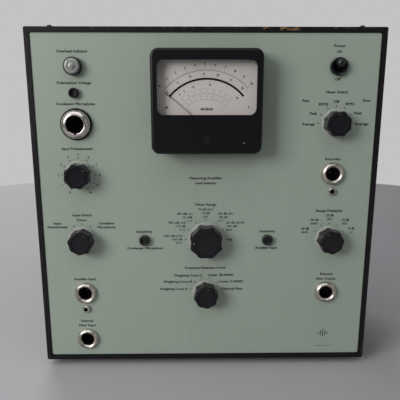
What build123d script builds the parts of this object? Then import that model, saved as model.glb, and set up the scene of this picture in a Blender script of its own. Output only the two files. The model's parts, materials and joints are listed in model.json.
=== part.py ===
"""A valve-era sound level measuring amplifier in a wooden carrying case.

Row frame: X to the right of someone facing the panel, Y from front to back, Z up, millimetres.
The origin is the middle of the underside of the whole object's box. Controls are placed on the
panel by their distance from its centre, right (px) and up (pz), and by their height out of it.
"""
from build123d import *
import math
import os

# ---- driving dimensions ---------------------------------------------------------------
CASE_W, CASE_H, CASE_D = 380.0, 380.0, 200.0
BOARD = 10.0            # thickness of the case boards
RIM = 5.6               # width of the case edge that frames the panel
RIM_PROUD = 1.0         # the case edge stands this far in front of the panel
PANEL_T = 3.0
FOOT_H = 8.0
BUMPER_H = 12.0
METER_H = 25.0          # height of the meter's front over the panel
COVER_T = 1.5
COVER_INSET = 2.0

# ---- places that follow ----------------------------------------------------------------
BACK_OUT = BUMPER_H - COVER_INSET
PANEL_Y = -(CASE_D - RIM_PROUD + BACK_OUT - METER_H) / 2
CASE_FRONT = PANEL_Y - RIM_PROUD
CASE_BACK = CASE_FRONT + CASE_D
COVER_Y = CASE_BACK - COVER_INSET
PANEL_Z = FOOT_H + CASE_H / 2
CASE_TOP = FOOT_H + CASE_H
PANEL_HALF = CASE_W / 2 - RIM
INSIDE_HALF = CASE_W / 2 - BOARD
PANEL_BACK = PANEL_Y + PANEL_T

LEFT_X, RIGHT_X = -140.4, 140.4         # the two outer columns of controls

# knob positions (px, pz) and the angle at which each one stands, clockwise from up
KNOBS = {
    "input_potentiometer": (LEFT_X, 34.4, 50.0, "small"),
    "input_switch": (LEFT_X, -40.5, 30.0, "small"),
    "meter_switch": (RIGHT_X, 90.5, 0.0, "small"),
    "range_multiplier": (RIGHT_X, -40.5, -30.0, "small"),
    "frequency_switch": (0.0, -105.5, 15.0, "small"),
    "meter_range": (0.0, -40.5, -90.0, "large"),
}
KNOB_SIZES = {                          # lobe radius, skirt radius, height of the top
    "small": (14.2, 15.4, 16.3),
    "large": (19.0, 20.2, 17.5),
}
WAFERS = {"input_switch": 2, "meter_switch": 3, "range_multiplier": 2,
          "frequency_switch": 3, "meter_range": 4}
FLUTES = 8
SHAFT_R, RUNNING = 3.0, 0.05
SKIRT_H0, SKIRT_H1 = 1.0, 2.6
SKIRT_BORE_R = 9.4
BUSH_R = 4.75
SHAFT_TIP = 13.0
POT_SHAFT_BACK = 24.0
WAFER_PITCH = 11.0

ADJUSTERS = {                           # px, pz, collar radius, height of the screw's top
    "polarization_adjuster": (-140.9, 122.7, 5.4, 1.4),
    "microphone_adjuster": (-69.9, -40.9, 6.0, 2.6),
    "amplifier_adjuster": (69.9, -40.9, 6.0, 2.6),
}
ADJ_R, ADJ_SPINDLE_R, COLLAR_H = 3.3, 2.0, 5.0

COAX = {"input": (LEFT_X, -105.0), "filter_in": (LEFT_X, -163.0),
        "recorder": (RIGHT_X, 35.2), "filter_out": (RIGHT_X, -105.0)}
COAX_R, COAX_BORE_R, COAX_H, COAX_MOUTH_H, COAX_FREE = 12.8, 7.2, 4.8, 1.2, 10.0
COAX_INSERT_R = 5.6
GROUND = {"input": (LEFT_X, -124.7), "recorder": (RIGHT_X + 0.2, 15.3)}
GROUND_R, GROUND_BORE_R = 4.2, 2.0

MIC = (LEFT_X, 89.7)
MIC_RING_R, MIC_SHELL_R, MIC_BORE_R = 17.2, 15.5, 9.4
MIC_INSERT_R, MIC_FREE, MIC_LIP_H = 8.2, 9.0, 9.0
LAMP = (LEFT_X, 150.1)
LAMP_R, LAMP_H, LENS_R = 9.75, 6.6, 8.2
POWER = (RIGHT_X, 150.0)
LEVER_TILT = 16.0

METER_W, METER_TALL, METER_PZ = 115.6, 106.9, 113.45
METER_CORNER, METER_WALL = 8.5, 3.0
WINDOW_W, WINDOW_TALL, WINDOW_PZ = 102.3, 55.0, 127.9
WINDOW_CORNER = 7.0
PIVOT_PZ = 86.5
DIAL_H, GLASS_H = 15.0, 20.0
POINTER_LEN, POINTER_TAIL, POINTER_REST = 57.0, 10.0, -50.0
ZERO_PZ = 75.0

os.makedirs("parts", exist_ok=True)


# ---- shape helpers -----------------------------------------------------------------------
def block(x0, x1, y0, y1, z0, z1):
    """A box between two corners in the row frame."""
    centre = Pos((x0 + x1) / 2, (y0 + y1) / 2, (z0 + z1) / 2)
    return centre * Box(x1 - x0, y1 - y0, z1 - z0)


def at_panel(px, pz, shape):
    """Puts a shape made with its +Y along the panel's outward normal onto the panel."""
    return Pos(px, PANEL_Y, PANEL_Z + pz) * Rot(180, 0, 0) * shape


def turned(px, pz, profile):
    """A lathe part: profile is a closed list of (radius, height over the panel)."""
    face = make_face(Polyline(*profile, close=True))
    return at_panel(px, pz, revolve(face, Axis.Y))


def dome(edge_r, edge_h, top_h):
    """The arc of a shallow dome, from its edge to its top on the axis."""
    rise = top_h - edge_h
    radius = (edge_r ** 2 + rise ** 2) / (2 * rise)
    half = math.asin(edge_r / radius) / 2
    middle = (radius * math.sin(half), top_h - radius + radius * math.cos(half))
    return ThreePointArc((edge_r, edge_h), middle, (0, top_h))


def rod(px, pz, h0, h1, radius):
    """A round bar along the panel's normal, between two heights over the panel."""
    bar = Pos(0, (h0 + h1) / 2, 0) * Rot(90, 0, 0) * Cylinder(radius, h1 - h0)
    return at_panel(px, pz, bar)


def plate(px, pz, w, tall, corner, h0, h1):
    """A plate parallel to the panel with round corners."""
    outline = extrude(RectangleRounded(w, tall, corner), h1 - h0)
    return at_panel(px, pz, Pos(0, h0, 0) * Rot(-90, 0, 0) * outline)


def hexagon(px, pz, h0, h1, across_flats):
    """A hexagonal bar along the panel's normal."""
    outline = extrude(RegularPolygon(across_flats / 2, 6, major_radius=False), h1 - h0)
    return at_panel(px, pz, Pos(0, h0, 0) * Rot(-90, 0, 0) * outline)


def upright(x, y, z0, z1, radius):
    """A round bar along Z."""
    return Pos(x, y, (z0 + z1) / 2) * Cylinder(radius, z1 - z0)


def save(node, *solids):
    """Writes one node, from one solid or from a group of separate ones."""
    shape = solids[0] if len(solids) == 1 else Compound(children=list(solids))
    export_step(shape, f"parts/{node}.step")


# ---- wooden case --------------------------------------------------------------------------
def case_board(x0, x1, z0, z1):
    """One board, with the front rebate for the panel and the back rebate for the cover cut."""
    board = block(x0, x1, CASE_FRONT, CASE_BACK, z0, z1)
    front = block(-PANEL_HALF, PANEL_HALF, CASE_FRONT - 1, PANEL_BACK,
                  PANEL_Z - PANEL_HALF, PANEL_Z + PANEL_HALF)
    back = block(-PANEL_HALF, PANEL_HALF, COVER_Y - COVER_T, CASE_BACK + 1,
                 PANEL_Z - PANEL_HALF, PANEL_Z + PANEL_HALF)
    return board - front - back


def round_long_edges(board, radius, keep):
    """Rounds the outside corner edges of a board, those that run from front to back."""
    edges = [e for e in board.edges().filter_by(Axis.Y)
             if keep(e.center()) and e.length > CASE_D - 1]
    return fillet(edges, radius)


def case():
    half = CASE_W / 2
    top = case_board(-half, half, CASE_TOP - BOARD, CASE_TOP)
    top = round_long_edges(top, 2.0, lambda c: c.Z > CASE_TOP - 0.1)
    bottom = case_board(-half, half, FOOT_H, FOOT_H + BOARD)
    bottom = round_long_edges(bottom, 2.0, lambda c: c.Z < FOOT_H + 0.1)
    for x, y in foot_places():
        bottom -= upright(x, y, FOOT_H - 1, FOOT_H + SCREW[0] - FOOT_WEB, SCREW[1])
    for x, y in cap_screw_places():
        top -= upright(x, y, CASE_TOP + CAP_T + STRAP_T - SCREW[0], CASE_TOP + 1, SCREW[1])
    low, high = FOOT_H + BOARD, CASE_TOP - BOARD
    save("case_top", top)
    save("case_bottom", bottom)
    save("case_sides", case_board(-half, -half + BOARD, low, high),
         case_board(half - BOARD, half, low, high))


PEG_X, PEG_R, PEG_STANDS = 164.0, 2.6, 1.9
HANDLE_HALF, HANDLE_W, STRAP_T = 86.0, 26.0, 3.0
HANDLE_Y = (CASE_FRONT + CASE_BACK) / 2
STRAP_RISE = 9.0
CAP_L, CAP_W, CAP_T = 40.0, 34.0, 1.6
CAP_MIDDLE, CAP_SCREW_OUT, CAP_SCREW_ASIDE = HANDLE_HALF - 6, 13.5, 9.0


def cap_screw_places():
    return [(side * (CAP_MIDDLE + CAP_SCREW_OUT), HANDLE_Y + y)
            for side in (-1, 1) for y in (-CAP_SCREW_ASIDE, CAP_SCREW_ASIDE)]


def lid_pegs():
    """Two short posts at the front of the top, which a front lid hooks over."""
    pegs = []
    for x in (-PEG_X, PEG_X):
        post = upright(x, CASE_FRONT + 5, CASE_TOP, CASE_TOP + PEG_STANDS, PEG_R)
        pegs.append(fillet(post.edges().group_by(Axis.Z)[-1], 0.8))
    save("lid_pegs", *pegs)


def strap_edge(offset):
    """Half of the strap's long section: flat at the end, then a gentle rise to the middle."""
    z = CASE_TOP + offset
    flat = HANDLE_HALF - 26
    return [(HANDLE_HALF, z), (flat, z), (flat - 14, z + STRAP_RISE - 1.5),
            (flat - 26, z + STRAP_RISE)]


def handle():
    under, over = strap_edge(0.0), strap_edge(STRAP_T)
    outline = under + [(-x, z) for x, z in reversed(under)]
    outline += [(-x, z) for x, z in over] + list(reversed(over))
    face = make_face(Polyline(*outline, close=True))
    strap = Rot(90, 0, 0) * extrude(face, HANDLE_W / 2, both=True)
    save("handle_strap", Pos(0, HANDLE_Y, 0) * strap)
    caps = []
    for side in (-1, 1):
        middle = side * CAP_MIDDLE
        z = CASE_TOP + CAP_T + STRAP_T
        cap = block(middle - CAP_L / 2, middle + CAP_L / 2, HANDLE_Y - CAP_W / 2,
                    HANDLE_Y + CAP_W / 2, CASE_TOP, z)
        cap = fillet(cap.edges().filter_by(Axis.Z), 5)
        cap = fillet(cap.edges().group_by(Axis.Z)[-1], 1.2)
        tunnel_end = middle + side * (CAP_L / 2 - 14)
        inner = middle - side * (CAP_L / 2 + 1)
        tunnel = block(min(tunnel_end, inner), max(tunnel_end, inner),
                       HANDLE_Y - HANDLE_W / 2, HANDLE_Y + HANDLE_W / 2, CASE_TOP - 1,
                       CASE_TOP + STRAP_T)
        cap -= tunnel
        for x, y in cap_screw_places():
            cap -= upright(x, y, CASE_TOP, z, SCREW[1] + 0.25)
        caps.append(cap)
    save("handle_caps", *caps)


FOOT_X, FOOT_Y_IN, BUMPER_AT = 150.0, 30.0, 164.0
FOOT_SCREW_HOLE_R, FOOT_DISH_R = 2.2, 3.7
FOOT_WEB = 4.5                          # rubber left under the head of a foot's screw


def foot(radius, height):
    """A rubber foot standing down from Z = 0, dished for its screw."""
    body = Pos(0, 0, -height / 2) * Cone(radius - 1.5, radius, height)
    body = fillet(body.edges().group_by(Axis.Z)[0], 1.0)
    body -= Pos(0, 0, -FOOT_WEB - height / 2) * Cylinder(FOOT_DISH_R, height)
    return body - Pos(0, 0, -height / 2) * Cylinder(FOOT_SCREW_HOLE_R, height + 2)


def foot_places():
    return [(x, y) for x in (-FOOT_X, FOOT_X)
            for y in (CASE_FRONT + FOOT_Y_IN, CASE_BACK - FOOT_Y_IN)]


def bumper_places():
    return [(x, PANEL_Z + z) for x in (-BUMPER_AT, BUMPER_AT) for z in (-BUMPER_AT, BUMPER_AT)]


def feet():
    """Four feet under the case, and four taller ones on the back cover to lay it down on."""
    under = [Pos(x, y, FOOT_H) * foot(11, FOOT_H) for x, y in foot_places()]
    behind = [Pos(x, COVER_Y, z) * Rot(90, 0, 0) * foot(9, BUMPER_H) for x, z in bumper_places()]
    save("feet", *under, *behind)


def screw(length, shank_r, head_r, head_t):
    """A slotted round-head screw: its head stands on Z = 0, its shank runs down from there."""
    head = Pos(0, 0, head_t / 2) * Cylinder(head_r, head_t)
    head = fillet(head.edges().group_by(Axis.Z)[-1], head_t * 0.45)
    head -= Pos(0, 0, head_t) * Box(head_r * 2.2, head_r * 0.28, head_t * 0.9)
    return head + Pos(0, 0, -length / 2) * Cylinder(shank_r, length)


COVER_SCREWS = [(sx * 178.5, PANEL_Z + z) for sx in (-1, 1) for z in (-120, 0, 120)]
COVER_SCREWS += [(x, PANEL_Z + sz * 178.5) for x in (-110, 110) for sz in (-1, 1)]


SCREW = (8.0, 1.5, 3.0, 1.8)            # length, shank radius, head radius, head height


def screws():
    """Round-head screws: in the back cover, the feet, the handle's caps and the brackets."""
    solids = [Pos(x, COVER_Y, z) * Rot(-90, 0, 0) * screw(*SCREW) for x, z in COVER_SCREWS]
    solids += [Pos(x, y, FOOT_H - FOOT_WEB) * Rot(180, 0, 0) * screw(*SCREW)
               for x, y in foot_places()]
    solids += [Pos(x, COVER_Y + FOOT_WEB, z) * Rot(-90, 0, 0) * screw(*SCREW)
               for x, z in bumper_places()]
    solids += [Pos(x, y, CASE_TOP + CAP_T + STRAP_T) * screw(*SCREW) for x, y in cap_screw_places()]
    for side in (-1, 1):
        for y, z in chassis_screw_places():
            place = Pos(side * (BRACKET_X + BRACKET_T), y, z) * Rot(0, side * 90, 0)
            solids.append(place * screw(*SCREW))
    save("screws", *solids)


# ---- panel and chassis ----------------------------------------------------------------------
def panel_hole(px, pz, radius):
    return rod(px, pz, -PANEL_T - 1, 1, radius)


def front_panel():
    panel = plate(0, 0, 2 * PANEL_HALF, 2 * PANEL_HALF, 2.5, -PANEL_T, 0)
    front_edges = panel.edges().group_by(Axis.Y)[0]
    panel = fillet(front_edges, 0.9)
    holes = [panel_hole(px, pz, BUSH_R) for px, pz, _, _ in KNOBS.values()]
    holes += [panel_hole(px, pz, ADJ_R + 1.0) for px, pz, _, _ in ADJUSTERS.values()]
    holes += [panel_hole(px, pz, COAX_BORE_R + 1.8) for px, pz in COAX.values()]
    holes += [panel_hole(px, pz, 3.0) for px, pz in GROUND.values()]
    holes += [panel_hole(*MIC, MIC_BORE_R + 3.6), panel_hole(*LAMP, LENS_R + 0.9)]
    holes += [panel_hole(*POWER, 6.5), panel_hole(0, PIVOT_PZ + 8, 31.0)]
    holes += [panel_hole(x, z, STUD_R) for x, z in meter_stud_places()]
    for hole in holes:
        panel -= hole
    save("front_panel", panel)


BRACKET_T, DECK_T = 2.0, 2.0
DECK_Z, DECK_Y0, DECK_Y1 = 150.0, PANEL_Y + 72, PANEL_Y + 186
BRACKET_X = 170.0


def chassis_screw_places():
    return [(y, DECK_Z - 8) for y in (DECK_Y0 + 14, DECK_Y1 - 14)]


def chassis():
    deck = block(-BRACKET_X, BRACKET_X, DECK_Y0, DECK_Y1, DECK_Z - DECK_T, DECK_Z)
    for y in (DECK_Y0, DECK_Y1 - DECK_T):
        deck += block(-BRACKET_X, BRACKET_X, y, y + DECK_T, DECK_Z - 18, DECK_Z)
    for side in (-1, 1):
        x = side * (BRACKET_X - DECK_T / 2)
        deck += block(x - DECK_T / 2, x + DECK_T / 2, DECK_Y0, DECK_Y1, DECK_Z - 18, DECK_Z)
        for y, z in chassis_screw_places():
            deck -= Pos(x, y, z) * Rot(0, 90, 0) * Cylinder(1.5, 6)
    save("chassis_deck", deck)
    brackets = []
    for side in (-1, 1):
        side_face = make_face(Polyline((PANEL_BACK, 40), (PANEL_BACK, 356),
                                       (PANEL_BACK + 14, 356), (DECK_Y1, 220),
                                       (DECK_Y1, 110), (PANEL_BACK + 60, 40), close=True))
        wall = Rot(0, 90, 0) * Rot(0, 0, 90) * extrude(side_face, BRACKET_T)
        x0 = BRACKET_X if side > 0 else -BRACKET_X - BRACKET_T
        wall = Pos(x0, 0, 0) * wall
        foot_x0 = BRACKET_X - 10 if side > 0 else -BRACKET_X
        wall += block(foot_x0, foot_x0 + 10, PANEL_BACK, PANEL_BACK + BRACKET_T, 40, 356)
        for y, z in chassis_screw_places():
            wall -= Pos(side * (BRACKET_X + 1), y, z) * Rot(0, 90, 0) * Cylinder(1.5, 6)
        brackets.append(wall)
    save("chassis_brackets", *brackets)


def slot_rows():
    """Middles of the ventilation slots in the back cover, in two groups of rows."""
    return [(x, PANEL_Z + z) for z in (60, 74, 88, 102, 116, 130)
            for x in (-105, -63, -21, 21, 63, 105)]


INLET = (-120.0, FOOT_H + 62)
FUSE = (-70.0, FOOT_H + 62)
SLOT_W, SLOT_T = 32.0, 5.0


def back_cover():
    cover = block(-PANEL_HALF, PANEL_HALF, COVER_Y - COVER_T, COVER_Y,
                  PANEL_Z - PANEL_HALF, PANEL_Z + PANEL_HALF)
    across = Pos(0, COVER_Y + 1, 0) * Rot(90, 0, 0)
    for x, z in slot_rows():
        outline = extrude(SlotOverall(SLOT_W, SLOT_T), COVER_T + 2)
        cover -= Pos(x, 0, z) * across * outline
    for x, z in COVER_SCREWS + bumper_places():
        cover -= Pos(x, 0, z) * across * Pos(0, 0, 2) * Cylinder(1.6, 8)
    cover -= block(INLET[0] - 15, INLET[0] + 15, COVER_Y - 5, COVER_Y + 1,
                   INLET[1] - 11, INLET[1] + 11)
    cover -= Pos(FUSE[0], COVER_Y, FUSE[1]) * Rot(90, 0, 0) * Cylinder(7.0, 8)
    save("back_cover", cover)


# ---- what is fixed to the deck and the back cover ---------------------------------------------
TRANSFORMER = (-115.0, PANEL_Y + 130)
VALVES = [(-45, 100), (-5, 100), (35, 100), (75, 100), (115, 100), (150, 100)]
CAPACITORS = [(-45, 155), (-5, 155), (35, 155)]


def transformer():
    x, y = TRANSFORMER
    core = block(x - 38, x + 38, y - 20, y + 20, DECK_Z, DECK_Z + 64)
    bells = block(x - 26, x + 26, y - 34, y + 34, DECK_Z + 11, DECK_Z + 53)
    bells = fillet(bells.edges().filter_by(Axis.X), 8)
    whole = core + bells
    for sx in (-1, 1):
        for sz in (6, 58):
            bolt = Pos(x + sx * 32, y, DECK_Z + sz) * Rot(90, 0, 0)
            whole += bolt * Cylinder(2, 48)
    save("power_transformer", whole)


def valve(radius, tall):
    """A glass valve on its plug-in base, standing on Z = 0: base ring, bulb and tip."""
    shoulder = tall - radius * 0.8
    arc = ThreePointArc((radius, shoulder), (radius * 0.74, shoulder + radius * 0.55),
                        (2.0, tall - 3))
    outline = [Line((0, 0), (radius + 2, 0)), Line((radius + 2, 0), (radius + 2, 9)),
               Line((radius + 2, 9), (radius, 11)), Line((radius, 11), (radius, shoulder)),
               arc, Line((2.0, tall - 3), (0.6, tall)), Line((0.6, tall), (0, tall)),
               Line((0, tall), (0, 0))]
    return revolve(Rot(90, 0, 0) * make_face(outline), Axis.Z)


def valves_and_capacitors():
    solids = [Pos(x, PANEL_Y + y, DECK_Z) * valve(10.5, 62) for x, y in VALVES]
    save("valves", *solids)
    cans = []
    for x, y in CAPACITORS:
        can = upright(x, PANEL_Y + y, DECK_Z, DECK_Z + 55, 12.5)
        cans.append(fillet(can.edges().group_by(Axis.Z)[-1], 1.5))
    save("capacitors", *cans)


PIN_R = 2.0


def mains_inlet():
    x, z = INLET
    body = block(x - 15, x + 15, COVER_Y - 26, COVER_Y, z - 11, z + 11)
    flange = block(x - 22, x + 22, COVER_Y, COVER_Y + 2.5, z - 15, z + 15)
    flange = fillet(flange.edges().filter_by(Axis.Y), 5)
    body += flange
    recess = block(x - 12.5, x + 12.5, COVER_Y - 17, COVER_Y + 3, z - 8.5, z + 8.5)
    body -= recess
    pins = []
    for dx in (-7, 0, 7):
        pin = Pos(x + dx, COVER_Y - 9.5, z) * Rot(90, 0, 0) * Cylinder(PIN_R, 15)
        pins.append(fillet(pin.edges().group_by(Axis.Y)[-1], 0.9))
    return body, pins


FUSE_R = 4.0


def along_back(profile, x, z):
    """A lathe part about an axis along +Y at the cover: profile is (radius, Y past the cover)."""
    face = make_face(Polyline(*profile, close=True))
    return Pos(x, COVER_Y, z) * revolve(face, Axis.Y)


def fuse():
    x, z = FUSE
    holder = along_back([(FUSE_R + RUNNING, 3.0), (8.5, 3.0), (8.5, 0), (7.0, 0), (7.0, -34),
                         (0, -34), (0, -30), (FUSE_R + RUNNING, -30)], x, z)
    cap = along_back([(0, -24), (FUSE_R, -24), (FUSE_R, 3.4), (7.4, 3.4), (7.4, 8.4),
                      (6.4, 9.4), (0, 9.4)], x, z)
    cap -= Pos(x, COVER_Y + 9.4, z) * Box(10, 2.4, 1.4)
    save("fuse_cap", cap)
    return holder


# ---- meter -----------------------------------------------------------------------------------
STUD_X, STUD_Z, STUD_R, POST_R, POST_HOLE_R = 48.0, 46.6, 2.0, 3.3, 3.9


def meter_stud_places():
    return [(sx * STUD_X, METER_PZ + sz * STUD_Z) for sx in (-1, 1) for sz in (-1, 1)]


def meter():
    case_ = plate(0, METER_PZ, METER_W, METER_TALL, METER_CORNER, 0, METER_H)
    case_ = fillet(case_.edges().group_by(Axis.Y)[0], 3.0)
    case_ -= plate(0, METER_PZ, METER_W - 2 * METER_WALL, METER_TALL - 2 * METER_WALL,
                   METER_CORNER - METER_WALL, -1, METER_H - METER_WALL)
    case_ -= plate(0, WINDOW_PZ, WINDOW_W, WINDOW_TALL, WINDOW_CORNER, METER_H - 6, METER_H + 1)
    case_ -= rod(0, ZERO_PZ, METER_H - 6, METER_H + 1, 3.5 + RUNNING)
    for x, z in meter_stud_places():
        case_ += rod(x, z, 2, METER_H - METER_WALL, POST_R)
    save("meter_case", case_)
    glass = plate(0, WINDOW_PZ, WINDOW_W + 1.6, WINDOW_TALL + 3, 5, GLASS_H, METER_H - METER_WALL)
    for x, z in meter_stud_places():
        glass -= rod(x, z, GLASS_H - 1, METER_H, POST_HOLE_R)
    save("meter_glass", glass)
    dial = plate(0, WINDOW_PZ - 4, WINDOW_W + 4, WINDOW_TALL + 12, 3, DIAL_H - 1, DIAL_H)
    dial -= rod(0, PIVOT_PZ, DIAL_H - 2, DIAL_H + 1, 9)
    for x, z in meter_stud_places():
        dial -= rod(x, z, DIAL_H - 2, DIAL_H + 1, POST_HOLE_R)
    save("meter_dial", dial)
    base = plate(0, METER_PZ, METER_W - 2 * METER_WALL - 0.4,
                 METER_TALL - 2 * METER_WALL - 0.4, 5, 0, 2)
    base -= rod(0, PIVOT_PZ, -1, 3, MAGNET_R)
    for x in (-40, 40):
        for z in (94, 153):
            base += rod(x, z, 2, DIAL_H - 1, 2.5)
    for x, z in meter_stud_places():
        base += rod(x, z, -12, 2, STUD_R) + hexagon(x, z, -PANEL_T - 3.2, -PANEL_T, 7)
    save("meter_base", base)
    movement()


COIL_R, MAGNET_BORE_R, MAGNET_R = 9.0, 10.5, 22.5
SPINDLE_R = 0.8


def movement():
    """The ring magnet with its two bridges, and the coil, spindle and pointer that swing in it."""
    magnet = rod(0, PIVOT_PZ, -24, 2, MAGNET_R) - rod(0, PIVOT_PZ, -22, 3, MAGNET_BORE_R)
    magnet -= rod(0, PIVOT_PZ, -23, 3, SPINDLE_R + RUNNING)
    bridge = plate(0, PIVOT_PZ, 34, 7, 1, 2, 4)
    bridge -= rod(0, PIVOT_PZ, 1, 5, SPINDLE_R + RUNNING)
    save("meter_magnet", magnet + bridge)
    coil = rod(0, PIVOT_PZ, -21.5, 1.5, COIL_R) + rod(0, PIVOT_PZ, -22.9, 18.2, SPINDLE_R)
    coil += rod(0, PIVOT_PZ, 16.6, 18.2, 2.4)
    needle = block(-0.45, 0.45, 17.05, 17.75, -POINTER_LEN, POINTER_TAIL)
    save("meter_pointer", coil + at_panel(0, PIVOT_PZ, Rot(0, -POINTER_REST, 0) * needle))
    zero = rod(0, ZERO_PZ, METER_H - METER_WALL - 1.5, METER_H, 3.5)
    zero -= at_panel(0, ZERO_PZ, Pos(0, METER_H, 0) * Box(8, 1.6, 1.0))
    save("meter_zero_screw", zero)


# ---- knobs and the switches behind them ---------------------------------------------------------
def lobed_outline(lobe_r):
    """A round outline with shallow hollows between rounded lobes; one hollow is at the top."""
    def at(turn, radius):
        return (radius * math.sin(turn), radius * math.cos(turn))

    step = 2 * math.pi / FLUTES
    half_lobe = step * 0.13
    arcs = []
    edge = lobe_r * 0.975
    for i in range(FLUTES):
        turn = (i + 0.5) * step
        arcs.append(ThreePointArc(at(turn - half_lobe, edge), at(turn, lobe_r),
                                  at(turn + half_lobe, edge)))
        arcs.append(ThreePointArc(at(turn + half_lobe, edge), at(turn + step / 2, lobe_r * 0.885),
                                  at(turn + step - half_lobe, edge)))
    return make_face(arcs)


def knob(px, pz, angle, size):
    """A black moulded knob: shallow flutes down its side, a raised ring round its flat top."""
    lobe_r, _, top = KNOB_SIZES[size]
    side = Rot(-90, 0, 0) * extrude(lobed_outline(lobe_r), top)
    ring_in, ring_out = lobe_r * 0.66, lobe_r * 0.76
    arc = ThreePointArc((lobe_r, top - 3.2), (lobe_r * 0.965, top - 1.7), (ring_out, top - 0.7))
    section = [Line((0, SKIRT_H1), (lobe_r, SKIRT_H1)), Line((lobe_r, SKIRT_H1), (lobe_r, top - 3.2)),
               arc, Line((ring_out, top - 0.7), (ring_out - 0.4, top)),
               Line((ring_out - 0.4, top), (ring_in, top)),
               Line((ring_in, top), (ring_in - 0.5, top - 0.9)),
               Line((ring_in - 0.5, top - 0.9), (0, top - 0.9)),
               Line((0, top - 0.9), (0, SKIRT_H1))]
    body = side & revolve(make_face(section), Axis.Y)
    body -= Pos(0, 3.4, 0) * Rot(90, 0, 0) * Cylinder(SKIRT_BORE_R, 4)
    body -= Pos(0, (SHAFT_TIP + 1) / 2, 0) * Rot(90, 0, 0) * Cylinder(SHAFT_R, SHAFT_TIP - 1)
    return at_panel(px, pz, Rot(0, -angle, 0) * body)


def controls():
    bushes, switches = [], []
    for name, (px, pz, angle, size) in KNOBS.items():
        save(f"{name}_knob", knob(px, pz, angle, size))
        skirt_r = KNOB_SIZES[size][1]
        skirt = turned(px, pz, [(SKIRT_BORE_R, SKIRT_H0), (skirt_r - 0.3, SKIRT_H0),
                                (skirt_r, SKIRT_H0 + 0.4), (skirt_r, SKIRT_H1 - 0.7),
                                (skirt_r - 0.7, SKIRT_H1), (SKIRT_BORE_R, SKIRT_H1)])
        save(f"{name}_skirt", skirt)
        deep = POT_SHAFT_BACK if name not in WAFERS else 16 + WAFER_PITCH * WAFERS[name]
        save(f"{name}_shaft", rod(px, pz, -deep, SHAFT_TIP, SHAFT_R))
        bush = rod(px, pz, -10, 4.2, BUSH_R) + hexagon(px, pz, 0, 2.2, 13)
        bushes.append(bush - rod(px, pz, -11, 5, SHAFT_R + RUNNING))
        if name in WAFERS:
            switches.append(wafer_switch(px, pz, WAFERS[name]))
    save("control_bushes", *bushes)
    save("wafer_switches", *switches)
    potentiometers()


def wafer_switch(px, pz, count):
    """A stack of round wafers on two spacer rods behind an index plate."""
    body = plate(px, pz, 38, 38, 6, -9, -PANEL_T)
    body -= rod(px, pz, -10.5, 0, BUSH_R)
    for i in range(count):
        h = -14 - WAFER_PITCH * (i + 1)
        body += rod(px, pz, h, h + 2.0, 20) - rod(px, pz, h - 1, h + 3, SHAFT_R + 0.4)
    for side in (-1, 1):
        body += rod(px + side * 15.5, pz, -16 - WAFER_PITCH * count, -8, 2.0)
    return body


def potentiometers():
    px, pz, _, _ = KNOBS["input_potentiometer"]
    can = rod(px, pz, -26, -PANEL_T, 16) - rod(px, pz, -11, 0, BUSH_R)
    bodies = [can - rod(px, pz, -24.3, 0, SHAFT_R + RUNNING)]
    for ax, az, _, _ in ADJUSTERS.values():
        can = rod(ax, az, -24, -12, 8.5)
        bodies.append(can - rod(ax, az, -22, -11, ADJ_SPINDLE_R + RUNNING))
    save("potentiometer_cans", *bodies)


def adjusters():
    collars = []
    for name, (px, pz, collar_r, head_top) in ADJUSTERS.items():
        bore = ADJ_R + RUNNING
        collars.append(turned(px, pz, [(bore, COLLAR_H - 0.6), (bore + 0.6, COLLAR_H),
                                       (collar_r - 0.8, COLLAR_H), (collar_r, COLLAR_H - 0.8),
                                       (collar_r, 0), (ADJ_R + 1.0, 0), (ADJ_R + 1.0, -12),
                                       (bore, -12)]))
        stem = rod(px, pz, -9, head_top, ADJ_R) + rod(px, pz, -21.5, -9, ADJ_SPINDLE_R)
        stem -= at_panel(px, pz, Pos(0, head_top, 0) * Box(8, 2.0, 0.9))
        save(name, stem)
    save("adjuster_collars", *collars)


# ---- sockets, lamp and power switch ---------------------------------------------------------------
def coax_shell(px, pz):
    """A jack: a thick convex ring on the panel and a tube through it."""
    ridge_r = (COAX_R + COAX_BORE_R) / 2 + 0.3
    crown = [ThreePointArc((COAX_R, 0.6), (COAX_R - 0.9, 3.3), (ridge_r, COAX_H)),
             ThreePointArc((ridge_r, COAX_H), (ridge_r - 1.9, COAX_H - 1.0),
                           (COAX_BORE_R, COAX_MOUTH_H))]
    tube_r = COAX_BORE_R + 1.8
    outline = [Line((COAX_R, 0), (COAX_R, 0.6)), *crown,
               Line((COAX_BORE_R, COAX_MOUTH_H), (COAX_BORE_R, -COAX_FREE)),
               Line((COAX_BORE_R, -COAX_FREE), (COAX_INSERT_R, -COAX_FREE)),
               Line((COAX_INSERT_R, -COAX_FREE), (COAX_INSERT_R, -16)),
               Line((COAX_INSERT_R, -16), (tube_r, -16)), Line((tube_r, -16), (tube_r, 0)),
               Line((tube_r, 0), (COAX_R, 0))]
    return at_panel(px, pz, revolve(make_face(outline), Axis.Y))


def sockets():
    """The jacks and ground sockets; returns the jacks' insulating discs and their contacts."""
    save("coax_shells", *[coax_shell(px, pz) for px, pz in COAX.values()])
    inserts, pins = [], []
    for px, pz in COAX.values():
        face = -COAX_FREE
        insert = rod(px, pz, face - 5, face, COAX_INSERT_R)
        insert -= rod(px, pz, face - 6, face + 1, 1.6)
        inserts.append(insert)
        pins.append(rod(px, pz, face - 9, face, 1.6) - rod(px, pz, face - 4, face + 1, 0.8))
    grounds = []
    for px, pz in GROUND.values():
        grounds.append(turned(px, pz, [(GROUND_BORE_R, 3.6), (GROUND_R - 0.7, 3.6),
                                       (GROUND_R, 2.9), (GROUND_R, 0), (3.0, 0), (3.0, -16),
                                       (0, -16), (0, -12), (GROUND_BORE_R, -12)]))
    save("ground_sockets", *grounds)
    return inserts, pins


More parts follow.
